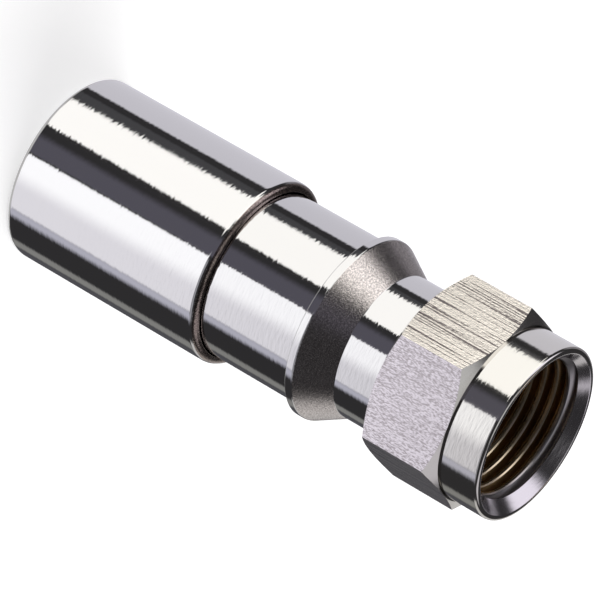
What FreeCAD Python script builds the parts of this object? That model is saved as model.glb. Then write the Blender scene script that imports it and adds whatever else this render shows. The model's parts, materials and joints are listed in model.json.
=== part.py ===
import FreeCAD, Part
import math
import os

# Compression F connector for coaxial cable, in millimetres.
# It stands on the rear end of its sleeve, at z = 0, with its axis along +Z and the nut on top.

# Cable end: radii from the cable outwards
cable_bore_radius = 4.15        # bore of the ferrule, which the cable's jacket passes through
ferrule_wall = 0.60             # ferrule's wall where its nose meets its flange
ferrule_tip_taper = 0.30        # how much thinner the nose is at its tip
ferrule_clearance = 0.10        # ferrule's nose to the tube's bore
tube_wall = 0.40
sleeve_clearance = 0.07         # sleeve's bore to the tube, a running fit
sleeve_wall = 0.53
lip_relief = 0.34               # ferrule's rear face that shows inside the lip

# Cable end: lengths from the rear end forwards
sleeve_length = 14.17
sleeve_travel = 6.40
lip_length = 0.80               # inward lip at the sleeve's rear
ferrule_flange_length = 1.70
ferrule_nose_length = 7.00
ferrule_stop_gap = 0.10         # ferrule's flange to the tube's end when the sleeve is home
rim_stop_gap = 0.13             # sleeve's front to the rim when the sleeve is home
sleeve_front_round = 0.44
sleeve_rear_round = 0.32
sleeve_mouth_chamfer = 0.06

# Body
rim_height = 0.505              # rim above the tube
rim_width = 0.50
rim_edge = 0.07
cone_length = 2.10
neck_wall = 1.285
neck_show = 3.00                # neck between the cone and the nut
tube_bore_floor = 0.50          # end of the tube's bore to the rim
throat_length = 1.80            # taper inside the cone, down to the post's seat
tube_edge = 0.12

# Post
dielectric_bore_radius = 2.40
post_tube_wall = 0.35
shank_wall = 0.85
post_tail = 3.00                # post behind the tube's rear end
barb_height = 0.35
barb_length = 1.20
barb_back = 0.15
post_lead_in = 0.20             # thinning of the post's rear edge
post_flange_thickness = 0.70
post_flange_clearance = 0.23    # post's flange to the crests of the nut's thread
post_mouth_chamfer = 0.20

# Nut
nut_across_flats = 11.11
nut_hex_length = 5.16
nut_collar_length = 2.64
collar_wall = 0.6875
collar_edge = 0.17
undercut_width = 0.16
undercut_depth = 0.10
chamfer_angle = 30.0            # hexagon's end chamfers, in degrees from the end face
thread_major_radius = 4.7625
thread_pitch = 0.79375
counterbore_relief = 0.19       # counterbore outside the thread's roots
counterbore_depth = 1.10
mouth_chamfer = 0.22
thread_start_gap = 0.05         # post's front to the first turn of the thread
thread_relief_depth = 0.04      # relief outside the thread's roots
nut_flange_thickness = 0.80
nut_clearance = 0.08            # nut's flange to the post's shank, a running fit
nut_rear_float = 0.15           # nut's flange to the body's front
nut_front_float = 0.10          # nut's flange to the post's flange
skirt_depth = 1.45
skirt_clearance = 0.105         # nut's skirt to the neck
skirt_mouth_chamfer = 0.12

# Seal
seal_section = 0.60
seal_gap = 0.04                 # seal to the nut's skirt
seal_side_gap = 0.05            # seal to each side of its groove

# Flats that stand for round stretches in a turned outline
edge_steps = 3
seal_steps = 8

# Radii that follow
ferrule_root_radius = cable_bore_radius + ferrule_wall
ferrule_tip_radius = ferrule_root_radius - ferrule_tip_taper
tube_bore_radius = ferrule_root_radius + ferrule_clearance
tube_radius = tube_bore_radius + tube_wall
sleeve_bore_radius = tube_radius + sleeve_clearance
sleeve_radius = sleeve_bore_radius + sleeve_wall
lip_radius = cable_bore_radius + lip_relief
rim_radius = tube_radius + rim_height
post_tube_radius = dielectric_bore_radius + post_tube_wall
shank_radius = dielectric_bore_radius + shank_wall
neck_radius = shank_radius + neck_wall
thread_minor_radius = thread_major_radius - 5 / 8 * math.sqrt(3) / 2 * thread_pitch
collar_radius = thread_major_radius + collar_wall
counterbore_radius = thread_major_radius + counterbore_relief
thread_relief_radius = thread_major_radius + thread_relief_depth
post_flange_radius = thread_minor_radius - post_flange_clearance
nut_hole_radius = shank_radius + nut_clearance
skirt_radius = neck_radius + skirt_clearance
groove_radius = skirt_radius - seal_gap - seal_section
flat_radius = nut_across_flats / 2
corner_radius = nut_across_flats / math.sqrt(3)

# Heights that follow
ferrule_rear = lip_length
ferrule_step = ferrule_rear + ferrule_flange_length
ferrule_tip = ferrule_step + ferrule_nose_length
tube_rear = ferrule_step + sleeve_travel + ferrule_stop_gap
rim_rear = sleeve_length + sleeve_travel + rim_stop_gap
rim_front = rim_rear + rim_width
tube_bore_end = rim_rear - tube_bore_floor
seat_rear = tube_bore_end + throat_length
cone_front = rim_front + cone_length
nut_rear = cone_front + neck_show
nut_flange_rear = nut_rear + skirt_depth
nut_flange_front = nut_flange_rear + nut_flange_thickness
body_front = nut_flange_rear - nut_rear_float
post_flange_rear = nut_flange_front + nut_front_float
post_front = post_flange_rear + post_flange_thickness
post_rear = tube_rear - post_tail
hex_front = nut_rear + nut_hex_length
nut_front = hex_front + nut_collar_length
thread_rear = post_front + thread_start_gap
counterbore_floor = nut_front - counterbore_depth
lead_in_end = counterbore_floor - (counterbore_radius - thread_minor_radius)
groove_width = seal_section + 2 * seal_side_gap
groove_rear = (nut_rear + body_front - groove_width) / 2
seal_centre = groove_rear + groove_width / 2


def turned(points):
    """Solid turned about Z from a closed outline of (radius, height) corners."""
    corners = [FreeCAD.Vector(r, 0, z) for r, z in points]
    outline = Part.makePolygon(corners + [corners[0]])
    return Part.Face(outline).revolve(FreeCAD.Vector(0, 0, 0), FreeCAD.Vector(0, 0, 1), 360)


def rounded(radius, height, bend, start, end, steps):
    """Corners along a round stretch about (radius, height), from one angle to another in degrees."""
    corners = []
    for k in range(steps + 1):
        angle = math.radians(start + (end - start) * k / steps)
        corners.append((radius + bend * math.cos(angle), height + bend * math.sin(angle)))
    return corners


def compression_sleeve():
    """Plain sleeve with rounded ends, and the lip that pushes the ferrule."""
    rear_edge = rounded(
        sleeve_radius - sleeve_rear_round, sleeve_rear_round, sleeve_rear_round, -90, 0, edge_steps)
    front_edge = rounded(
        sleeve_radius - sleeve_front_round, sleeve_length - sleeve_front_round,
        sleeve_front_round, 0, 90, edge_steps)
    return turned([
        (lip_radius, 0),
        *rear_edge,
        *front_edge,
        (sleeve_bore_radius + sleeve_mouth_chamfer, sleeve_length),
        (sleeve_bore_radius, sleeve_length - sleeve_mouth_chamfer),
        (sleeve_bore_radius, lip_length),
        (lip_radius, lip_length),
    ])


def gripping_ferrule():
    """Plastic ring whose tapered nose goes between the tube and the cable's jacket."""
    return turned([
        (cable_bore_radius, ferrule_rear),
        (sleeve_bore_radius, ferrule_rear),
        (sleeve_bore_radius, ferrule_step),
        (ferrule_root_radius, ferrule_step),
        (ferrule_tip_radius, ferrule_tip),
        (cable_bore_radius, ferrule_tip),
    ])


def connector_body():
    """Tube, rim, cone and neck, bored for the post, with the seal's groove in the neck."""
    return turned([
        (tube_bore_radius + tube_edge, tube_rear),
        (tube_radius - tube_edge, tube_rear),
        (tube_radius, tube_rear + tube_edge),
        (tube_radius, rim_rear),
        (rim_radius - rim_edge, rim_rear),
        (rim_radius, rim_rear + rim_edge),
        (rim_radius, rim_front - rim_edge),
        (rim_radius - rim_edge, rim_front),
        (neck_radius, cone_front),
        (neck_radius, groove_rear),
        (groove_radius, groove_rear),
        (groove_radius, groove_rear + groove_width),
        (neck_radius, groove_rear + groove_width),
        (neck_radius, body_front),
        (shank_radius, body_front),
        (shank_radius, seat_rear),
        (tube_bore_radius, tube_bore_end),
        (tube_bore_radius, tube_rear + tube_edge),
    ])


def inner_post():
    """Flanged post: a seat in the neck, and a thin barbed tube that goes under the braid."""
    return turned([
        (dielectric_bore_radius, post_rear),
        (post_tube_radius - post_lead_in, post_rear),
        (post_tube_radius + barb_height, post_rear + barb_length),
        (post_tube_radius, post_rear + barb_length + barb_back),
        (post_tube_radius, seat_rear),
        (shank_radius, seat_rear),
        (shank_radius, post_flange_rear),
        (post_flange_radius, post_flange_rear),
        (post_flange_radius, post_front),
        (dielectric_bore_radius + post_mouth_chamfer, post_front),
        (dielectric_bore_radius, post_front - post_mouth_chamfer),
    ])


def nut_o_ring():
    """Rubber ring in the neck's groove."""
    section = rounded(
        groove_radius + seal_section / 2, seal_centre, seal_section / 2, 0, 360, seal_steps)
    return turned(section[:-1])


def hexagon_blank():
    """Hexagonal bar, one pair of flats facing X, with its corners turned off at both ends."""
    corners = []
    for k in range(7):
        angle = math.radians(30 + 60 * k)
        corners.append(FreeCAD.Vector(
            corner_radius * math.cos(angle), corner_radius * math.sin(angle), nut_rear))
    bar = Part.Face(Part.makePolygon(corners)).extrude(FreeCAD.Vector(0, 0, nut_hex_length))
    slope = math.tan(math.radians(chamfer_angle))
    reach = corner_radius + 1
    rise = (reach - flat_radius) * slope
    chamfers = turned([
        (0, nut_rear),
        (flat_radius, nut_rear),
        (reach, nut_rear + rise),
        (reach, hex_front - rise),
        (flat_radius, hex_front),
        (0, hex_front),
    ])
    return bar.common(chamfers)


def hex_nut():
    """Hexagon and collar, bored for the neck, the post and the port's thread."""
    undercut_top = hex_front + undercut_width
    collar = turned([
        (0, hex_front),
        (collar_radius - undercut_depth, hex_front),
        (collar_radius - undercut_depth, undercut_top),
        (collar_radius, undercut_top),
        (collar_radius, nut_front - collar_edge),
        (collar_radius - collar_edge, nut_front),
        (0, nut_front),
    ])
    bore = turned([
        (0, nut_rear),
        (skirt_radius + skirt_mouth_chamfer, nut_rear),
        (skirt_radius, nut_rear + skirt_mouth_chamfer),
        (skirt_radius, nut_flange_rear),
        (nut_hole_radius, nut_flange_rear),
        (nut_hole_radius, nut_flange_front),
        (thread_relief_radius, nut_flange_front),
        (thread_relief_radius, thread_rear - (thread_relief_radius - thread_minor_radius)),
        (thread_minor_radius, thread_rear),
        (thread_minor_radius, lead_in_end),
        (counterbore_radius, counterbore_floor),
        (counterbore_radius, nut_front - mouth_chamfer),
        (counterbore_radius + mouth_chamfer, nut_front),
        (0, nut_front),
    ])
    return hexagon_blank().fuse(collar).cut(bore)


pieces = {
    "compression_sleeve": compression_sleeve(),
    "gripping_ferrule": gripping_ferrule(),
    "connector_body": connector_body(),
    "inner_post": inner_post(),
    "nut_o_ring": nut_o_ring(),
    "hex_nut": hex_nut(),
}

os.makedirs("parts", exist_ok=True)
for name, solid in pieces.items():
    solid.exportStep("parts/" + name + ".step")
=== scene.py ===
"""Compression F connector: nickel-plated pieces dressed round their solids, with a stage and a camera."""

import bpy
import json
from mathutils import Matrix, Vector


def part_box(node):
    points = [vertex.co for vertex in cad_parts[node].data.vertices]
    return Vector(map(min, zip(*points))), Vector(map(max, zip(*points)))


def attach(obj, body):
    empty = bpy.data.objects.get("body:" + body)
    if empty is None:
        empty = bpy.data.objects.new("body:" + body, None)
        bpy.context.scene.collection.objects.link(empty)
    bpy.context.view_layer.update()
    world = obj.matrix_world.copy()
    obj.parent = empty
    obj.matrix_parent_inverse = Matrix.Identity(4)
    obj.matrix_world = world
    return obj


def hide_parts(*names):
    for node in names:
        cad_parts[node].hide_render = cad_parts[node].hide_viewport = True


bl_info = {
    "name": "Compression F connector",
    "version": (1, 0, 0),
    "blender": (4, 5, 0),
    "location": "View3D > Sidebar > Connector",
    "description": "Models the pieces of a compression F connector with their finishes and stage",
    "category": "Add Mesh",
}

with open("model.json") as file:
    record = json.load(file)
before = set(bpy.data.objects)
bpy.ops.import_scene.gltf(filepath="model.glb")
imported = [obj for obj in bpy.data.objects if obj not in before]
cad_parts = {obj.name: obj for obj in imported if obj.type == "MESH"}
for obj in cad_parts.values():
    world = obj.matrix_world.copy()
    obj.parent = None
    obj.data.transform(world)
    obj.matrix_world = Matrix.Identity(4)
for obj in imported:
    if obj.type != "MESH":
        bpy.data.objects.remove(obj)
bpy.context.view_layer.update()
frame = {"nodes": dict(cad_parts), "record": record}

import json
import math

import bmesh
import bpy
from bpy.props import FloatProperty, FloatVectorProperty, IntProperty, PointerProperty
from mathutils import Matrix, Vector

MM = 0.001
SAME = 0.001 * MM    # points as near as this are one point
NEAR = 0.002 * MM    # places as near as this count as the same place
BLEND = 0.02         # width over which one zone of a metal changes into the next, in mm
BOX = {node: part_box(node) for node in frame["nodes"]}
MOUNT = {mount["name"]: mount for mount in frame["record"]["mounts"]}
SLOT_COLOUR = {slot["slot"]: slot["base_color"] for slot in frame["record"]["materials"]}


def length(name, description, default):
    """Size property, in metres."""
    return FloatProperty(name=name, description=description, default=default, unit="LENGTH", precision=5)


def angle(name, description, degrees):
    """Angle property, with its default given in degrees."""
    return FloatProperty(name=name, description=description, default=math.radians(degrees), subtype="ANGLE")


def share(name, description, default):
    """Number between 0 and 1."""
    return FloatProperty(name=name, description=description, default=default, min=0, max=1, subtype="FACTOR")


def colour(name, description, default):
    """Colour property, in linear light."""
    return FloatVectorProperty(
        name=name, description=description, default=default, size=3, min=0, max=4, subtype="COLOR")


def bore(mount):
    """Radius of a mount's bore, in metres."""
    return MOUNT[mount]["dims"]["r_mm"] * MM


class TurningSettings(bpy.types.PropertyGroup):
    """How finely the turned pieces are made."""

    steps: IntProperty(
        name="Steps", description="Flats round a turned piece", default=240, min=24, max=480)
    round_steps: IntProperty(
        name="Rounding steps", description="Flats along a rounded edge", default=5, min=1, max=12)


class SleeveSizes(bpy.types.PropertyGroup):
    """Sizes of the compression sleeve and the ferrule inside it."""

    radius: length("Radius", "Outside of the sleeve", BOX["compression_sleeve"][1].x)
    reach: length("Length", "From the rear end to the front end", BOX["compression_sleeve"][1].z)
    bore: length("Bore", "Radius of the sleeve's bore", BOX["gripping_ferrule"][1].x)
    lip: length("Lip bore", "Radius inside the inward lip", bore("cable_entry"))
    lip_reach: length("Lip length", "Length of the inward lip", BOX["gripping_ferrule"][0].z)
    rear_round: length("Rear rounding", "Rounding of the rear edge", 0.32 * MM)
    front_round: length("Front rounding", "Rounding of the front edge", 0.44 * MM)
    break_edge: length("Broken edge", "Small rounding of the inner edges", 0.05 * MM)


class FerruleSizes(bpy.types.PropertyGroup):
    """Sizes of the plastic gripping ferrule."""

    bore: length("Bore", "Radius that the cable's jacket passes through", 4.15 * MM)
    root: length("Nose root", "Radius of the nose where it meets the flange", 4.75 * MM)
    tip: length("Nose tip", "Radius of the nose at its tip", 4.45 * MM)
    flange: length("Flange", "Length of the flange", 1.7 * MM)
    break_edge: length("Broken edge", "Small rounding of the edges", 0.06 * MM)


class BodySizes(bpy.types.PropertyGroup):
    """Sizes of the connector body."""

    tube_radius: length("Tube", "Outside of the thin tube", 5.25 * MM)
    tube_bore: length("Tube bore", "Bore of the thin tube", 4.85 * MM)
    rim_rear: length("Rim rear", "Height of the rim's rear face", 20.70 * MM)
    rim_front: length("Rim front", "Height of the rim's front edge", 21.20 * MM)
    cone_front: length("Cone front", "Height where the cone meets the neck", 23.30 * MM)
    neck: length("Neck", "Radius of the neck", 4.535 * MM)
    seat: length("Seat", "Radius of the post's seat", 3.25 * MM)
    tube_floor: length("Tube floor", "Height where the tube's bore ends", 20.20 * MM)
    seat_rear: length("Seat rear", "Height where the post's seat starts", 22.0 * MM)
    groove: length("Groove", "Radius of the seal's groove", 4.0 * MM)
    groove_width: length("Groove width", "Width of the seal's groove", 0.7 * MM)
    edge: length("Edge", "Rounding of the rim's edges", 0.06 * MM)


class PostSizes(bpy.types.PropertyGroup):
    """Sizes of the inner post."""

    bore: length("Bore", "Radius of the bore for the cable's core", bore("dielectric_bore"))
    tube: length("Tube", "Outside of the thin tube", 2.75 * MM)
    barb: length("Barb", "Radius of the barb", 3.10 * MM)
    barb_reach: length("Barb length", "From the rear end to the top of the barb", 1.2 * MM)
    shank: length("Shank", "Radius of the shank in its seat", 3.25 * MM)
    flange: length("Flange thickness", "Thickness of the flange in the nut", 0.70 * MM)
    edge: length("Edge", "Rounding of the flange's edges", 0.06 * MM)


class SealSizes(bpy.types.PropertyGroup):
    """Sizes of the rubber ring."""

    section: length("Section", "Thickness of the ring", 0.6 * MM)
    parting: length("Parting line", "Height of the line left by the mould", 0.012 * MM)


class NutSizes(bpy.types.PropertyGroup):
    """Sizes of the coupling nut."""

    flat: length("Flat", "From the axis to a flat", BOX["hex_nut"][1].x)
    hex_reach: length("Hexagon length", "Length of the hexagon", 5.16 * MM)
    collar: length("Collar", "Radius of the collar", 5.45 * MM)
    undercut: length("Undercut depth", "Depth of the groove between hexagon and collar", 0.10 * MM)
    undercut_width: length("Undercut width", "Width of that groove", 0.16 * MM)
    front_edge: length("Front edge", "Rounding of the collar's front edge", 0.23 * MM)
    mouth: length("Mouth", "Radius of the countersink at the front face", 5.10 * MM)
    mouth_edge: length("Mouth edge", "Rounding of the countersink's edge", 0.05 * MM)
    countersink: angle("Countersink", "Slope of the countersink from the axis", 45)
    corner_edge: length("Corner edge", "Rounding of the hexagon's corners", 0.035 * MM)
    chamfer: angle("Chamfer", "Slope of the hexagon's end chamfers from the end face", 30)
    crest: length("Thread crest", "Radius of the thread's crests", bore("port_thread"))
    root: length("Thread root", "Radius of the thread's roots", 4.7625 * MM)
    pitch: length("Pitch", "Rise of the thread in one turn", 25.4 / 32 * MM)
    crest_break: length("Crest break", "Depth of the bevel at the thread's crests", 0.05 * MM)
    thread_turn: angle("Thread turn", "Turn of the thread about the axis", 165)
    relief: length("Relief", "Radius behind the thread", 4.8025 * MM)
    relief_front: length("Relief front", "Height where the thread starts", 29.40 * MM)
    hole: length("Hole", "Radius of the hole round the post", 3.33 * MM)
    flange_rear: length("Flange rear", "Height of the inner flange's rear face", 27.75 * MM)
    flange_front: length("Flange front", "Height of the inner flange's front face", 28.55 * MM)
    skirt: length("Skirt", "Radius of the bore round the neck", 4.64 * MM)
    skirt_edge: length("Skirt edge", "Rounding of the skirt's inner edge", 0.1 * MM)


class CameraSettings(bpy.types.PropertyGroup):
    """Camera of the photograph's viewing angle."""

    focal: FloatProperty(
        name="Focal length", description="Focal length of the lens", default=296.17 * MM,
        unit="CAMERA")
    sensor: FloatProperty(
        name="Sensor", description="Width of the picture behind the lens", default=36 * MM, unit="CAMERA")
    aim: length("Aim", "Height on the connector's axis of the point that the camera is set to", 16.5 * MM)
    distance: length("Distance", "From the camera to that point", 282.4 * MM)
    azimuth: angle("Azimuth", "Turn of the camera about the connector's axis", 9.84)
    elevation: angle("Elevation", "Height of the camera above the floor", 26.14)
    roll: angle("Roll", "Turn of the camera about its own axis", 119.97)
    right: length("Right", "How far that point lies right of the picture's middle", -0.536 * MM)
    down: length("Down", "How far that point lies below the picture's middle", -0.3556 * MM)


class StageSettings(bpy.types.PropertyGroup):
    """Floor and lamp."""

    floor: length("Floor", "Width of the floor", 4.0)
    floor_gap: length("Floor gap", "From the floor to the connector's rear end", 0.01 * MM)
    floor_tint: colour("Floor tint", "Colour of the floor", (0.8, 0.8, 0.8))
    floor_glow: share("Floor glow", "Light that the camera sees on the floor besides the lamp's", 0.6)
    lamp_tilt: angle("Lamp tilt", "Tilt of the lamp from straight overhead", 35)
    lamp_turn: angle("Lamp turn", "Turn of the lamp about the connector's axis", 160)
    lamp_spread: angle("Lamp spread", "Softness of the lamp's shadow", 40)
    lamp_strength: FloatProperty(
        name="Lamp strength", description="Light of the lamp", default=1.5, min=0)


class FinishSettings(bpy.types.PropertyGroup):
    """Colours and textures of the surfaces."""

    bright: share("Bright roughness", "Roughness of the bright nickel", 0.05)
    satin: share("Satin roughness", "Roughness of the post", 0.3)
    brushed: share("Brushed roughness", "Roughness of the nut's flats", 0.14)
    blasted: share("Blasted roughness", "Roughness of the cone", 0.24)
    thread: share("Thread roughness", "Roughness of the thread", 0.3)
    cut: share("Cut roughness", "Roughness of the sleeve's cut front and of the nut's chamfers", 0.2)
    collar: share("Collar roughness", "Roughness of the nut's collar", 0.08)
    countersunk: share("Countersink roughness", "Roughness of the nut's countersink", 0.15)
    rings: FloatProperty(name="Rings", description="Turning rings in a millimetre", default=6.0, min=0)
    ring_breaks: FloatProperty(
        name="Ring breaks", description="Breaks in a millimetre of a ring", default=1.4, min=0)
    ring_depth: length("Ring depth", "Depth of the turning rings", 0.005 * MM)
    wave_depth: length("Wave depth", "Depth of the broad waves under them", 0.002 * MM)
    grain: FloatProperty(
        name="Grain", description="Grains of the blasted cone in a millimetre", default=13.0, min=0)
    bare_grain: FloatProperty(
        name="Cut front's grain", description="Grains of the sleeve's cut front in a millimetre",
        default=9.0, min=0)
    grain_depth: length("Grain depth", "Depth of the grain, on the cone and on the cut front", 0.012 * MM)
    scratches: FloatProperty(
        name="Scratches", description="Brush marks across a millimetre of a flat", default=9.0, min=0)
    dashes: FloatProperty(
        name="Dashes", description="Short marks across a millimetre of a flat", default=26.0, min=0)
    scratch_depth: length("Scratch depth", "Depth of the brush marks", 0.0036 * MM)
    blasted_tint: colour("Cone", "Colour of the blasted cone", (0.87, 0.81, 0.79))
    # Every second flat gets a brighter, warmer colour as painted light, and the flats between a darker one
    # as painted shade.
    lit_flat_tint: colour("Flats", "Colour of three of the brushed flats", (1.0, 0.935, 0.86))
    shaded_flat_tint: colour("Flats in painted shade", "Colour of the flats between them", (0.74, 0.69, 0.73))
    flat_dark: colour("Brush marks", "Colour in the brush marks", (0.22, 0.19, 0.19))
    brass_tint: colour("Thread", "Colour of the thread's flanks", (0.40, 0.26, 0.12))
    # The crests are paler than the flanks, as painted highlight along the thread's crests over the brass.
    crest_highlight_tint: colour("Crests", "Colour of the thread's crests", (0.80, 0.68, 0.50))
    sink_tint: colour("Countersink", "Colour of the nut's countersink", (0.68, 0.65, 0.67))
    plated_tint: colour("First turn", "Colour of the plated first turn of the thread", (0.46, 0.44, 0.45))
    bare_tint: colour("Bare edge", "Colour of the sleeve's cut front", (0.43, 0.36, 0.32))
    bare_dark: colour("Bare edge's grain", "Darker colour in that front's grain", (0.20, 0.16, 0.15))


SETTINGS = {
    "connector_finish": FinishSettings,
    "connector_turning": TurningSettings,
    "connector_sleeve": SleeveSizes,
    "connector_ferrule": FerruleSizes,
    "connector_body": BodySizes,
    "connector_post": PostSizes,
    "connector_seal": SealSizes,
    "connector_nut": NutSizes,
    "connector_camera": CameraSettings,
    "connector_stage": StageSettings,
}


class Wire:
    """A socket of a node tree. Python's operators on it add Math nodes."""

    def __init__(self, graph, socket):
        self.graph = graph
        self.socket = socket

    def math(self, operation, *others):
        """Puts this value, and others after it, through a Math node."""
        return self.graph.math(operation, self, *others)

    def __add__(self, other):
        return self.graph.math("ADD", self, other)

    def __radd__(self, other):
        return self.graph.math("ADD", other, self)

    def __sub__(self, other):
        return self.graph.math("SUBTRACT", self, other)

    def __rsub__(self, other):
        return self.graph.math("SUBTRACT", other, self)

    def __mul__(self, other):
        return self.graph.math("MULTIPLY", self, other)

    def __rmul__(self, other):
        return self.graph.math("MULTIPLY", other, self)

    def __truediv__(self, other):
        return self.graph.math("DIVIDE", self, other)

    def __mod__(self, other):
        return self.graph.math("FLOORED_MODULO", self, other)

    def ramp(self, low, high):
        """0 below low, 1 above high, and smooth between them."""
        return self.graph.add(
            "MapRange", {"Value": self, "From Min": low, "From Max": high},
            interpolation_type="SMOOTHSTEP")

    def step(self, edge, softness):
        """0 below an edge, 1 above it, and smooth across it."""
        return self.ramp(edge - softness / 2, edge + softness / 2)

    def parts(self):
        """X, Y and Z of a vector."""
        split = self.graph.add("SeparateXYZ", {0: self}).socket.node
        return [Wire(self.graph, split.outputs[axis]) for axis in "XYZ"]


class Graph:
    """Node tree of a material or the world."""

    def __init__(self, tree):
        self.tree = tree
        tree.nodes.clear()

    def add(self, kind, inputs=(), output=0, **settings):
        """Adds a node, its settings first, and gives one of its outputs."""
        node = self.tree.nodes.new("ShaderNode" + kind)
        for name, value in settings.items():
            setattr(node, name, value)
        for key, value in dict(inputs).items():
            if isinstance(value, Wire):
                self.tree.links.new(value.socket, node.inputs[key])
            else:
                node.inputs[key].default_value = value
        return Wire(self, node.outputs[output]) if len(node.outputs) else node

    def math(self, operation, *values):
        """Adds a Math node."""
        return self.add("Math", dict(enumerate(values)), operation=operation)

    def mix(self, factor, first, second):
        """Colour between two colours."""
        return self.add(
            "Mix", {0: factor, 6: first, 7: second}, output=2, data_type="RGBA", clamp_factor=True)

    def noise(self, scales, detail=2.0, roughness=0.5):
        """Noise on Object coordinates, with so many cells a millimetre along each axis."""
        place = self.add("TexCoord", output="Object")
        cells = self.add(
            "VectorMath", {0: place, 1: [scale / MM for scale in scales]}, operation="MULTIPLY")
        return self.add(
            "TexNoise", {"Vector": cells, "Scale": 1.0, "Detail": detail, "Roughness": roughness})


def rgba(values):
    """Colour with full alpha."""
    return (*values, 1.0)


def activate(piece):
    """Selects a piece alone and makes it the active one."""
    bpy.ops.object.select_all(action="DESELECT")
    piece.select_set(True)
    bpy.context.view_layer.objects.active = piece


def select_edges(piece, test):
    """Selects, in edit mode, just the edges that pass a test."""
    mesh = bmesh.from_edit_mesh(piece.data)
    for part in (*mesh.faces, *mesh.edges, *mesh.verts):
        part.select = False
    for edge in mesh.edges:
        if test(edge):
            edge.select_set(True)
    mesh.select_flush_mode()
    bmesh.update_edit_mesh(piece.data)


def turned(name, outline):
    """Ring turned about Z from a closed outline of (radius, height, rounding) corners."""
    turning = bpy.context.scene.connector_turning
    bpy.ops.object.select_all(action="DESELECT")
    radius, height, _ = outline[0]
    bpy.ops.mesh.primitive_circle_add(
        vertices=turning.steps, radius=radius, location=(0, 0, height))
    piece = bpy.context.object
    piece.name = piece.data.name = name
    bpy.ops.object.transform_apply(location=True)
    bpy.ops.object.mode_set(mode="EDIT")
    bpy.ops.mesh.select_mode(type="EDGE")
    bpy.ops.mesh.select_all(action="SELECT")
    for next_radius, next_height, _ in outline[1:] + outline[:1]:
        bpy.ops.mesh.extrude_region_move(
            TRANSFORM_OT_translate={"value": (0, 0, next_height - height)})
        growth = next_radius / radius
        bpy.ops.transform.resize(value=(growth, growth, 1), center_override=(0, 0, next_height))
        radius, height = next_radius, next_height
    bpy.ops.mesh.select_all(action="SELECT")
    bpy.ops.mesh.remove_doubles(threshold=SAME)
    bpy.ops.mesh.normals_make_consistent(inside=False)
    for radius, height, rounding in outline:
        if rounding:
            select_edges(piece, lambda edge: all(
                abs(end.co.z - height) < NEAR and abs(end.co.xy.length - radius) < NEAR
                for end in edge.verts))
            bpy.ops.mesh.bevel(
                offset=rounding, segments=turning.round_steps, affect="EDGES", clamp_overlap=False)
    bpy.ops.object.mode_set(mode="OBJECT")
    return piece


def apply_modifier(piece, kind, **settings):
    """Adds a modifier to a piece and applies it."""
    activate(piece)
    modifier = piece.modifiers.new(kind.lower(), kind)
    for name, value in settings.items():
        setattr(modifier, name, value)
    bpy.ops.object.modifier_apply(modifier=modifier.name)


def cut(piece, tool, operation):
    """Cuts a piece with a tool, or keeps what they share, and removes the tool."""
    apply_modifier(piece, "BOOLEAN", object=tool, operation=operation, solver="EXACT")
    bpy.data.objects.remove(tool)


def finish(piece, node, body, material, sharp=30):
    """Shades a piece, gives it its material and sets it on its body in place of its solid.

    Edges that turn by more than sharp, in degrees, stay sharp.
    """
    activate(piece)
    bpy.ops.object.shade_smooth_by_angle(angle=math.radians(sharp), keep_sharp_edges=False)
    # The modifier counts tiny areas as none, so it works on the mesh in millimetres.
    piece.data.transform(Matrix.Scale(1 / MM, 4))
    apply_modifier(piece, "WEIGHTED_NORMAL", mode="FACE_AREA", weight=100, keep_sharp=True)
    piece.data.transform(Matrix.Scale(MM, 4))
    piece.data.materials.clear()
    piece.data.materials.append(material)
    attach(piece, body)
    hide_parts(node)


def new_material(name):
    """Material and its empty graph."""
    material = bpy.data.materials.new(name)
    material.use_nodes = True
    return material, Graph(material.node_tree)


class Metal:
    """Plated metal: one shader whose colour, roughness and relief change from zone to zone."""

    def __init__(self, name, tint, roughness):
        self.material, self.graph = new_material(name)
        self.tint = rgba(tint)
        self.roughness = roughness
        self.relief = None
        place = self.graph.add("TexCoord", output="Object")
        x, y, z = place.parts()
        self.across = (x / MM, y / MM)
        self.height = z / MM
        flattened = self.graph.add("VectorMath", {0: place, 1: (1, 1, 0)}, operation="MULTIPLY")
        self.radius = self.graph.add("VectorMath", {0: flattened}, output=1, operation="LENGTH") / MM

    def heights(self, low, high):
        """1 between two heights, in mm."""
        return self.height.step(low, BLEND) * (1 - self.height.step(high, BLEND))

    def zone(self, mask, tint, roughness):
        """Paints a zone in another colour and roughness."""
        self.tint = self.graph.mix(mask, self.tint, tint if isinstance(tint, Wire) else rgba(tint))
        self.roughness = mask * (roughness - self.roughness) + self.roughness

    def carve(self, depth):
        """Adds relief, in mm."""
        self.relief = depth if self.relief is None else self.relief + depth

    def rings(self, mask=1.0, depth=1.0):
        """Fine rings left by the turning tool, over broad waves."""
        settings = bpy.context.scene.connector_finish
        broken = settings.ring_breaks
        fine = self.graph.noise((broken, broken, settings.rings), detail=2.0)
        broad = self.graph.noise((0.12, 0.12, 0.9), detail=1.0)
        relief = fine * (settings.ring_depth / MM) + broad * (settings.wave_depth / MM)
        self.carve(relief * mask * depth)

    def finished(self):
        """Ties the shader and gives the material."""
        inputs = {"Base Color": self.tint, "Metallic": 1.0, "Roughness": self.roughness}
        if self.relief is not None:
            inputs["Normal"] = self.graph.add(
                "Bump", {"Height": self.relief, "Distance": MM, "Strength": 1.0})
        self.graph.add("OutputMaterial", {0: self.graph.add("BsdfPrincipled", inputs)})
        return self.material


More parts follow.
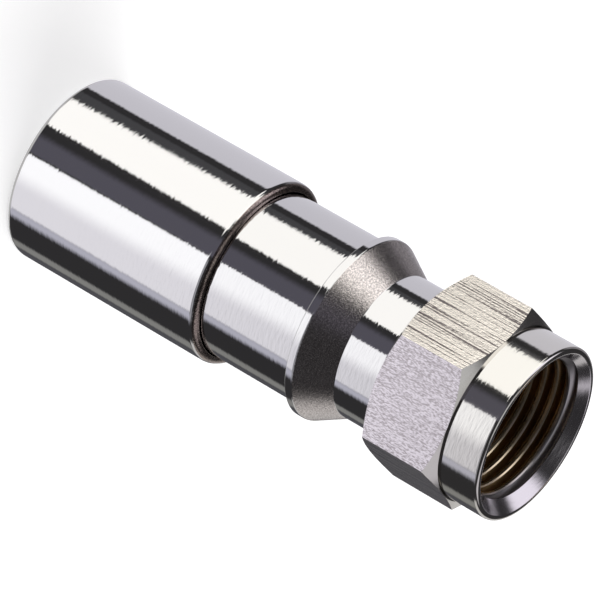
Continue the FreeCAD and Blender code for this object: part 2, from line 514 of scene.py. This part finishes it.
def sleeve_finish():
    """Bright nickel over fine turning rings, and darker grained metal on the cut front."""
    settings = bpy.context.scene.connector_finish
    size = bpy.context.scene.connector_sleeve
    metal = Metal("sleeve_nickel", SLOT_COLOUR["sleeve_nickel"], settings.bright)
    bare = metal.height.step((size.reach - size.front_round / 2) / MM, 0.05)
    grain = metal.graph.noise((settings.bare_grain,) * 3, detail=2.0)
    bare_tint = metal.graph.mix(grain.ramp(0.35, 0.65), rgba(settings.bare_dark), rgba(settings.bare_tint))
    metal.zone(bare, bare_tint, settings.cut)
    metal.carve(bare * grain * (settings.grain_depth / MM))
    metal.rings()
    return metal.finished()


def body_finish():
    """Bright nickel with turning rings, and a blasted cone."""
    settings = bpy.context.scene.connector_finish
    size = bpy.context.scene.connector_body
    metal = Metal("body_nickel", SLOT_COLOUR["body_nickel"], settings.bright)
    masked_rear = size.rim_front / MM + 0.04
    masked_front = size.cone_front / MM - 0.03
    cone = metal.heights(masked_rear, masked_front)
    grain = metal.graph.noise((settings.grain,) * 3, detail=3.0, roughness=0.65)
    pits = [0.55 * value for value in settings.blasted_tint]
    speckled = metal.graph.mix(grain.ramp(0.38, 0.62), rgba(pits), rgba(settings.blasted_tint))
    metal.zone(cone, speckled, settings.blasted)
    metal.carve(grain * cone * (settings.grain_depth / MM))
    metal.rings(1 - cone)
    return metal.finished()


def brush_flats(metal, settings, size):
    """Brushes the six flats, every second one coarser, paints light on those and shade on the flats between,
    and gives the mask of all six.
    """
    graph = metal.graph
    x, y = metal.across
    far = x.math("ABSOLUTE")
    for turn in (60, 120):
        lean = x * math.cos(math.radians(turn)) + y * math.sin(math.radians(turn))
        far = far.math("MAXIMUM", lean.math("ABSOLUTE"))
    margin = 0.012    # keeps the mask on the flats where the mesh lies a little inside them, in mm
    flats = far.step(size.flat / MM - margin, 0.015)
    # The strokes run on for about ten millimetres, and the dashes for a fifth of one.
    strokes = graph.noise((settings.scratches, settings.scratches, 0.1), detail=1.5)
    dashes = graph.noise((settings.dashes, settings.dashes, 5), detail=0.0)
    # The cube of x + iy has a positive real part on every second flat.
    coarse_painted_lit_flats = (x * x * x - 3 * x * y * y).ramp(-1, 1)
    coarse = 0.35 + 0.5 * coarse_painted_lit_flats
    lines = (strokes * coarse + dashes * (1 - coarse) + 0.05 * coarse_painted_lit_flats).ramp(0.45, 0.53)
    # Painted light and shade: every second flat takes the brighter colour, the flats between it the darker
    # one.
    painted_flat_light_and_shade = graph.mix(coarse_painted_lit_flats, rgba(settings.shaded_flat_tint), rgba(settings.lit_flat_tint))
    marks = (1 - lines) * (0.6 + 0.4 * coarse_painted_lit_flats)
    metal.zone(flats, graph.mix(marks, painted_flat_light_and_shade, rgba(settings.flat_dark)), settings.brushed)
    metal.carve(flats * (strokes + dashes) * (settings.scratch_depth / MM))
    return flats


def turn_outside(metal, settings, size, flats):
    """Gives the collar and the hexagon's end chamfers their turned finishes."""
    nickel = SLOT_COLOUR["nut_nickel"]
    rear = BOX["hex_nut"][0].z / MM
    hex_front = (BOX["hex_nut"][0].z + size.hex_reach) / MM
    in_undercut = hex_front + 0.1
    collar = metal.height.step(in_undercut, BLEND)
    metal.zone(collar * (1 - flats), nickel, settings.collar)
    outside = metal.radius.step(size.collar / MM + 0.05, BLEND)
    metal.zone(metal.heights(rear, hex_front) * outside * (1 - flats), nickel, settings.cut)


def open_mouth(metal, settings, size):
    """Finishes the countersink, the plated first turn of the thread and the brass turns behind it, with
    paler crests as painted highlight.
    """
    graph = metal.graph
    thread_front, sink_end, plated_end = 0.3, 1.0, 1.3    # depths behind the front face, in mm
    depth = BOX["hex_nut"][1].z / MM - metal.height
    off_cone = (size.mouth / MM - depth - metal.radius).math("ABSOLUTE")
    countersink = 1 - off_cone.step(0.03, 0.03)
    metal.zone(countersink * (1 - depth.step(sink_end, 0.1)), settings.sink_tint, settings.countersunk)
    inside = (1 - metal.radius.step(size.root / MM + 0.03, 0.04)) * depth.step(thread_front, 0.1)
    # The paler crest colour is painted highlight along the thread's crests.
    crest = 1 - metal.radius.step(size.crest / MM + 0.06, 0.03)
    brass = graph.mix(crest, rgba(settings.brass_tint), rgba(settings.crest_highlight_tint))
    tint = graph.mix(depth.step(plated_end, 0.3), rgba(settings.plated_tint), brass)
    metal.zone(inside * (1 - countersink), tint, settings.thread)


def nut_finish():
    """Brushed flats with painted light and shade, turned chamfers and collar, a countersunk mouth and a
    brass thread with painted crest highlights.
    """
    settings = bpy.context.scene.connector_finish
    size = bpy.context.scene.connector_nut
    metal = Metal("nut_nickel", SLOT_COLOUR["nut_nickel"], settings.bright)
    flats = brush_flats(metal, settings, size)
    turn_outside(metal, settings, size, flats)
    open_mouth(metal, settings, size)
    metal.rings(1 - flats)
    return metal.finished()


def post_finish():
    """Satin nickel with coarser turning rings."""
    settings = bpy.context.scene.connector_finish
    metal = Metal("post_nickel", SLOT_COLOUR["post_nickel"], settings.satin)
    metal.rings(depth=1.5)
    return metal.finished()


def moulded(name, tint, roughness, cells, depth):
    """Moulded plastic or rubber, mottled and uneven in so many cells a millimetre."""
    material, graph = new_material(name)
    mottle = graph.noise((cells,) * 3, detail=3.0)
    darker = [value * 0.88 for value in tint]
    bump = graph.add("Bump", {"Height": mottle, "Distance": depth, "Strength": 1.0})
    shader = graph.add("BsdfPrincipled", {
        "Base Color": graph.mix(mottle, rgba(darker), rgba(tint)),
        "Roughness": roughness + 0.1 * mottle, "Normal": bump})
    graph.add("OutputMaterial", {0: shader})
    return material


class MESH_OT_connector_sleeve(bpy.types.Operator):
    """Turn the compression sleeve: a plain tube with rounded ends and an inward lip"""

    bl_idname = "mesh.connector_sleeve"
    bl_label = "Compression sleeve"

    def execute(self, context):
        size = context.scene.connector_sleeve
        piece = turned("sleeve", [
            (size.lip, 0, size.break_edge),
            (size.radius, 0, size.rear_round),
            (size.radius, size.reach, size.front_round),
            (size.bore, size.reach, size.break_edge),
            (size.bore, size.lip_reach, 0),
            (size.lip, size.lip_reach, size.break_edge),
        ])
        finish(piece, "compression_sleeve", "sleeve", sleeve_finish())
        return {"FINISHED"}


class MESH_OT_connector_ferrule(bpy.types.Operator):
    """Turn the plastic ferrule: a flange and a tapered nose"""

    bl_idname = "mesh.connector_ferrule"
    bl_label = "Gripping ferrule"

    def execute(self, context):
        size = context.scene.connector_ferrule
        low, high = BOX["gripping_ferrule"]
        step = low.z + size.flange
        piece = turned("ferrule", [
            (size.bore, low.z, size.break_edge),
            (high.x, low.z, size.break_edge),
            (high.x, step, size.break_edge),
            (size.root, step, 0),
            (size.tip, high.z, size.break_edge),
            (size.bore, high.z, size.break_edge),
        ])
        material = moulded(
            "ferrule_acetal", SLOT_COLOUR["ferrule_acetal"], roughness=0.38, cells=4, depth=0.002 * MM)
        finish(piece, "gripping_ferrule", "sleeve", material)
        return {"FINISHED"}


class MESH_OT_connector_body(bpy.types.Operator):
    """Turn the body: a thin tube, a rim, a cone and a neck with the seal's groove"""

    bl_idname = "mesh.connector_body"
    bl_label = "Connector body"

    def execute(self, context):
        size = context.scene.connector_body
        low, high = BOX["connector_body"]
        rim = high.x
        seal_low, seal_high = BOX["nut_o_ring"]
        groove_middle = (seal_low.z + seal_high.z) / 2
        groove_rear = groove_middle - size.groove_width / 2
        groove_front = groove_middle + size.groove_width / 2
        piece = turned("body", [
            (size.tube_bore, low.z, 2 * size.edge),
            (size.tube_radius, low.z, 2 * size.edge),
            (size.tube_radius, size.rim_rear, 0),
            (rim, size.rim_rear, size.edge),
            (rim, size.rim_front, size.edge),
            (size.neck, size.cone_front, 0),
            (size.neck, groove_rear, 0),
            (size.groove, groove_rear, 0),
            (size.groove, groove_front, 0),
            (size.neck, groove_front, 0),
            (size.neck, high.z, size.edge),
            (size.seat, high.z, 0),
            (size.seat, size.seat_rear, 0),
            (size.tube_bore, size.tube_floor, 0),
        ])
        finish(piece, "connector_body", "body", body_finish())
        return {"FINISHED"}


class MESH_OT_connector_post(bpy.types.Operator):
    """Turn the inner post: a thin barbed tube, a shank and a flange"""

    bl_idname = "mesh.connector_post"
    bl_label = "Inner post"

    def execute(self, context):
        size = context.scene.connector_post
        low, high = BOX["inner_post"]
        flange_rear = high.z - size.flange
        seat_rear = context.scene.connector_body.seat_rear
        barb_top = low.z + size.barb_reach
        barb_back = (size.barb - size.tube) / 2
        piece = turned("post", [
            (size.bore, low.z, 0),
            (size.tube - barb_back, low.z, size.edge),
            (size.barb, barb_top, 0),
            (size.tube, barb_top + barb_back, 0),
            (size.tube, seat_rear, 0),
            (size.shank, seat_rear, 0),
            (size.shank, flange_rear, 0),
            (high.x, flange_rear, size.edge),
            (high.x, high.z, size.edge),
            (size.bore, high.z, 3 * size.edge),
        ])
        finish(piece, "inner_post", "body", post_finish())
        return {"FINISHED"}


class MESH_OT_connector_seal(bpy.types.Operator):
    """Mould the rubber ring in the neck's groove, with its fine parting line"""

    bl_idname = "mesh.connector_seal"
    bl_label = "Rubber ring"

    def execute(self, context):
        size = context.scene.connector_seal
        low, high = BOX["nut_o_ring"]
        middle = (low.z + high.z) / 2
        centre = high.x - size.section / 2
        bend = size.section / 2 - size.parting
        # The parting line stands out at 0 and 180 degrees, with a corner close by on each side.
        turns = (0, 4, *range(15, 166, 15), 176, 180, 184, *range(195, 346, 15), 356)
        outline = []
        for turn in turns:
            reach = bend if turn % 180 else bend + size.parting
            place = math.radians(turn)
            outline.append((centre + reach * math.cos(place), middle + bend * math.sin(place), 0))
        piece = turned("seal", outline)
        material = moulded(
            "seal_rubber", SLOT_COLOUR["seal_rubber"], roughness=0.55, cells=8, depth=0.003 * MM)
        finish(piece, "nut_o_ring", "body", material)
        return {"FINISHED"}


def thread_tap(size, rear, front):
    """Right-hand threaded rod that cuts the nut's thread, from one height to another."""
    sixteenth = size.pitch / 16
    profile = [
        (size.crest, 0), (size.crest, 3 * sixteenth),
        (size.crest + size.crest_break, 4.6 * sixteenth),
        (size.root, 9 * sixteenth), (size.root, 11 * sixteenth),
        (size.crest, 16 * sixteenth)]
    # The profile starts as a circle merged to one point, more than a turn behind the thread.
    start = rear - 1.5 * size.pitch
    bpy.ops.object.select_all(action="DESELECT")
    bpy.ops.mesh.primitive_circle_add(vertices=3, radius=size.pitch, location=(0, 0, start))
    tap = bpy.context.object
    bpy.ops.object.transform_apply(location=True)
    bpy.ops.object.mode_set(mode="EDIT")
    bpy.ops.mesh.select_mode(type="VERT")
    bpy.ops.mesh.select_all(action="SELECT")
    bpy.ops.mesh.merge(type="CENTER")
    bpy.ops.transform.translate(value=(profile[0][0], 0, 0))
    for (radius, height), (next_radius, next_height) in zip(profile, profile[1:]):
        bpy.ops.mesh.extrude_region_move(TRANSFORM_OT_translate={
            "value": (next_radius - radius, 0, next_height - height)})
    bpy.ops.object.mode_set(mode="OBJECT")
    turns = math.ceil((front - start) / size.pitch) + 1
    steps = bpy.context.scene.connector_turning.steps
    apply_modifier(
        tap, "SCREW", angle=math.tau, screw_offset=size.pitch, iterations=turns,
        steps=steps, render_steps=steps, use_merge_vertices=True, merge_threshold=SAME)
    bpy.ops.object.mode_set(mode="EDIT")
    bpy.ops.mesh.select_all(action="SELECT")
    bpy.ops.mesh.remove_doubles(threshold=NEAR)
    for height, side in ((rear, "clear_inner"), (front, "clear_outer")):
        bpy.ops.mesh.select_all(action="SELECT")
        bpy.ops.mesh.bisect(
            plane_co=(0, 0, height), plane_no=(0, 0, 1), use_fill=True, threshold=0.0001 * MM,
            **{side: True})
    bpy.ops.mesh.select_all(action="SELECT")
    bpy.ops.mesh.normals_make_consistent(inside=False)
    bpy.ops.transform.rotate(value=size.thread_turn, orient_axis="Z", center_override=(0, 0, 0))
    bpy.ops.object.mode_set(mode="OBJECT")
    return tap


def hexagonal_bar(size, corner, rear, front):
    """Hexagonal bar with lightly rounded corners, longer than the nut at both ends."""
    spare = 2 * MM
    bpy.ops.object.select_all(action="DESELECT")
    bpy.ops.mesh.primitive_cylinder_add(
        vertices=6, radius=corner, depth=front - rear + 2 * spare,
        location=(0, 0, (front + rear) / 2))
    bar = bpy.context.object
    bpy.ops.object.transform_apply(location=True)
    bpy.ops.object.mode_set(mode="EDIT")
    bpy.ops.mesh.select_mode(type="EDGE")
    select_edges(bar, lambda edge: abs(edge.verts[0].co.z - edge.verts[1].co.z) > spare)
    bpy.ops.mesh.bevel(offset=size.corner_edge, segments=3, affect="EDGES")
    bpy.ops.object.mode_set(mode="OBJECT")
    return bar


class MESH_OT_connector_nut(bpy.types.Operator):
    """Make the coupling nut: turned from hexagonal bar, and tapped with its helical thread"""

    bl_idname = "mesh.connector_nut"
    bl_label = "Coupling nut"

    def execute(self, context):
        size = context.scene.connector_nut
        low, high = BOX["hex_nut"]
        rear, front = low.z, high.z
        hex_front = rear + size.hex_reach
        undercut_top = hex_front + size.undercut_width
        corner = size.flat / math.cos(math.radians(30))
        reach = corner + 0.5 * MM    # the chamfers run on past the bar's corners
        rise = (reach - size.flat) * math.tan(size.chamfer)
        pilot = size.crest - 0.03 * MM    # the tap cleans the bore out to the thread's crests
        countersink_end = front - (size.mouth - pilot) / math.tan(size.countersink)
        piece = turned("nut", [
            (size.flat, rear, 0),
            (reach, rear + rise, 0),
            (reach, hex_front - rise, 0),
            (size.flat, hex_front, 0),
            (size.collar - size.undercut, hex_front, 0),
            (size.collar - size.undercut, undercut_top, 0),
            (size.collar, undercut_top, 0),
            (size.collar, front, size.front_edge),
            (size.mouth, front, size.mouth_edge),
            (pilot, countersink_end, 0),
            (pilot, size.relief_front, 0),
            (size.relief, size.relief_front - (size.relief - pilot), 0),
            (size.relief, size.flange_front, 0),
            (size.hole, size.flange_front, 0),
            (size.hole, size.flange_rear, 0),
            (size.skirt, size.flange_rear, 0),
            (size.skirt, rear, size.skirt_edge),
        ])
        cut(piece, hexagonal_bar(size, corner, rear, front), "INTERSECT")
        tap_rear = size.flange_front + 0.1 * MM
        tap_front = front - 0.3 * MM
        cut(piece, thread_tap(size, tap_rear, tap_front), "DIFFERENCE")
        finish(piece, "hex_nut", "nut", nut_finish(), sharp=20)
        return {"FINISHED"}


# Studio cards, in degrees. "across" is their azimuth from the camera's right, counted from 90 to 450, and
# "up" their elevation. "soft" is the width of the fades at their start, at their end and upwards. "lean" is
# how far their start and end move for each degree above LEAN_MIDDLE.
LEAN_MIDDLE = -26
LEAN_LIMITS = (-12, 10)    # degrees below and above the middle, past which an edge leans no further
LEAN_FADE = (-16, 0)       # elevations over which the lean dies out
ROOM_LIGHT = (0.035, 0.034, 0.036)
CARDS = {
    "side wall": dict(
        across=(84, 169), up=(-90, -14), soft=(4, 4, 8), light=(0.70, 0.69, 0.75)),
    "gap beside the key": dict(
        across=(180, 193), up=(-90, 8), soft=(3, 3, 6), light=(0.07, 0.07, 0.075)),
    "warm key": dict(
        across=(191, 244), lean=(1.5, -0.9), up=(-60, 12), soft=(1.2, 1.2, 8), light=(1.33, 1.32, 1.28)),
    "upper part of the key": dict(
        across=(184, 230), up=(8, 38), soft=(5, 8, 8), light=(1.45, 1.43, 1.38)),
    "dark middle": dict(
        across=(256, 278), up=(-90, 60), soft=(10, 2, 6), light=(0.107, 0.103, 0.128)),
    "cold screen": dict(
        across=(278.5, 351.5), lean=(0.6, 0), up=(-90, -20.5), soft=(2, 7, 16), light=(0.95, 0.94, 1.0)),
    "cold lamp in the screen": dict(
        across=(278.5, 311.5), lean=(0.6, 0), up=(-90, -21.5), soft=(2, 24, 16), light=(1.32, 1.33, 1.36)),
    "edge of the screen": dict(
        across=(351, 361), up=(-90, -12), soft=(5, 9, 10), light=(0.55, 0.55, 0.64)),
    "upper part of the screen": dict(
        across=(283, 356), up=(-14, 6), soft=(8, 14, 9), light=(0.36, 0.36, 0.39)),
    "low strip": dict(
        across=(400, 417), up=(-90, -14), soft=(7, 10, 8), light=(0.26, 0.26, 0.25)),
    "low fill": dict(
        across=(417, 446), up=(-90, -14), soft=(10, 6, 8), light=(0.085, 0.085, 0.095)),
    "far wall": dict(
        across=(388, 452), up=(-17, 14), soft=(8, 12, 6), light=(0.62, 0.61, 0.60)),
    "upper part of the side wall": dict(
        across=(80, 146), up=(-16, 12), soft=(1, 16, 6), light=(0.26, 0.25, 0.27)),
    "high lamp": dict(
        across=(376, 425), up=(32, 66), soft=(14, 10, 10), light=(0.66, 0.64, 0.68)),
    "high side lamp": dict(
        across=(143, 205), up=(29, 56), soft=(14, 30, 10), light=(1.15, 1.12, 1.22)),
    "small lamp over the sleeve": dict(
        across=(101, 113), up=(47, 60), soft=(8, 8, 8), light=(1.5, 1.3, 1.15)),
    "ceiling": dict(
        across=(80, 460), up=(72, 91), soft=(1, 1, 10), light=(0.65, 0.65, 0.66)),
    "ground": dict(
        across=(80, 460), up=(-91, -42), soft=(1, 1, 8), light=(0.60, 0.60, 0.60)),
}


def light_world():
    """Studio cards round the connector, and white behind it for the camera."""
    world = bpy.data.worlds.new("studio")
    bpy.context.scene.world = world
    world.use_nodes = True
    graph = Graph(world.node_tree)
    x, y, z = graph.add("TexCoord", output="Generated").parts()
    in_degrees = 180 / math.pi
    # A card's azimuth of 90 is straight behind the connector, a quarter turn from the camera's right.
    behind = math.degrees(bpy.context.scene.connector_camera.azimuth) + 90
    azimuth = (y.math("ARCTAN2", x) * in_degrees - behind) % 360 + 90
    elevation = z.math("ARCSINE") * in_degrees
    lowest, highest = LEAN_LIMITS
    above = (elevation - LEAN_MIDDLE).math("MAXIMUM", lowest).math("MINIMUM", highest)
    above = above * (1 - elevation.ramp(*LEAN_FADE))
    light = rgba(ROOM_LIGHT)
    for card in CARDS.values():
        start, end = card["across"]
        bottom, top = card["up"]
        start_lean, end_lean = card.get("lean", (0, 0))
        start_soft, end_soft, up_soft = card["soft"]
        mask = (azimuth + start_lean * above).step(start, start_soft)
        mask = mask * (1 - (azimuth + end_lean * above).step(end, end_soft))
        mask = mask * elevation.step(bottom, up_soft) * (1 - elevation.step(top, up_soft))
        light = graph.mix(mask, light, rgba(card["light"]))
    seen = graph.add("LightPath", output="Is Camera Ray")
    light = graph.mix(seen, light, rgba((1, 1, 1)))
    background = graph.add("Background", {0: light, 1: 1.0})
    graph.add("OutputWorld", {0: background})


class SCENE_OT_connector_stage(bpy.types.Operator):
    """Set up the floor, the studio light and the camera"""

    bl_idname = "scene.connector_stage"
    bl_label = "Stage"

    def execute(self, context):
        light_world()
        self.lay_floor(context.scene.connector_stage)
        self.hang_lamp(context.scene.connector_stage)
        self.set_camera(context)
        context.scene.view_settings.view_transform = "Standard"
        return {"FINISHED"}

    def lay_floor(self, settings):
        """Pale floor that keeps the shadow and isn't mirrored, because it would hide the cards."""
        bpy.ops.object.select_all(action="DESELECT")
        bpy.ops.mesh.primitive_plane_add(size=settings.floor, location=(0, 0, -settings.floor_gap))
        floor = bpy.context.object
        floor.name = "floor"
        floor.visible_glossy = False
        material, graph = new_material("pale_floor")
        diffuse = graph.add("BsdfDiffuse", {0: rgba(settings.floor_tint)})
        # For the camera the glow lifts the lit floor to white, and what is in shadow stays darker.
        seen = graph.add("LightPath", output="Is Camera Ray")
        glow = graph.add("Emission", {0: rgba((1, 1, 1)), 1: settings.floor_glow * seen})
        shader = graph.add("AddShader", {0: diffuse, 1: glow})
        graph.add("OutputMaterial", {0: shader})
        floor.data.materials.append(material)

    def hang_lamp(self, settings):
        """Soft lamp that isn't mirrored."""
        bpy.ops.object.light_add(type="SUN", rotation=(settings.lamp_tilt, 0, settings.lamp_turn))
        lamp = bpy.context.object
        lamp.name = "soft_key"
        lamp.data.energy = settings.lamp_strength
        lamp.data.angle = settings.lamp_spread
        lamp.visible_glossy = False

    def set_camera(self, context):
        """Camera at the photograph's viewing angle."""
        settings = context.scene.connector_camera
        turn = (
            Matrix.Rotation(settings.azimuth, 3, "Z")
            @ Matrix.Rotation(math.pi / 2 - settings.elevation, 3, "X")
            @ Matrix.Rotation(settings.roll, 3, "Z"))
        offset = turn @ Vector((settings.right, -settings.down, -settings.distance))
        data = bpy.data.cameras.new("camera")
        data.lens = settings.focal / MM
        data.sensor_width = settings.sensor / MM
        data.clip_start = 1 * MM
        data.clip_end = 10.0
        camera = bpy.data.objects.new("camera", data)
        context.scene.collection.objects.link(camera)
        camera.matrix_world = Matrix.Translation(Vector((0, 0, settings.aim)) - offset) @ turn.to_4x4()
        context.scene.camera = camera


class VIEW3D_PT_connector(bpy.types.Panel):
    """Panel of the connector's operators and settings"""

    bl_label = "F connector"
    bl_idname = "VIEW3D_PT_connector"
    bl_space_type = "VIEW_3D"
    bl_region_type = "UI"
    bl_category = "Connector"

    def draw(self, context):
        for operator in OPERATORS:
            self.layout.operator(operator.bl_idname)
        for name in SETTINGS:
            column = self.layout.column()
            settings = getattr(context.scene, name)
            for setting in settings.bl_rna.properties:
                if setting.identifier not in ("name", "rna_type"):
                    column.prop(settings, setting.identifier)


OPERATORS = (
    SCENE_OT_connector_stage,
    MESH_OT_connector_sleeve,
    MESH_OT_connector_ferrule,
    MESH_OT_connector_body,
    MESH_OT_connector_post,
    MESH_OT_connector_seal,
    MESH_OT_connector_nut,
)
CLASSES = (*SETTINGS.values(), *OPERATORS, VIEW3D_PT_connector)


def register():
    for kind in CLASSES:
        bpy.utils.register_class(kind)
    for name, group in SETTINGS.items():
        setattr(bpy.types.Scene, name, PointerProperty(type=group))


def unregister():
    for name in SETTINGS:
        delattr(bpy.types.Scene, name)
    for kind in reversed(CLASSES):
        bpy.utils.unregister_class(kind)


def main():
    register()
    bpy.ops.scene.connector_stage()
    bpy.ops.mesh.connector_sleeve()
    bpy.ops.mesh.connector_ferrule()
    bpy.ops.mesh.connector_body()
    bpy.ops.mesh.connector_post()
    bpy.ops.mesh.connector_seal()
    bpy.ops.mesh.connector_nut()


if __name__ == "__main__":
    main()
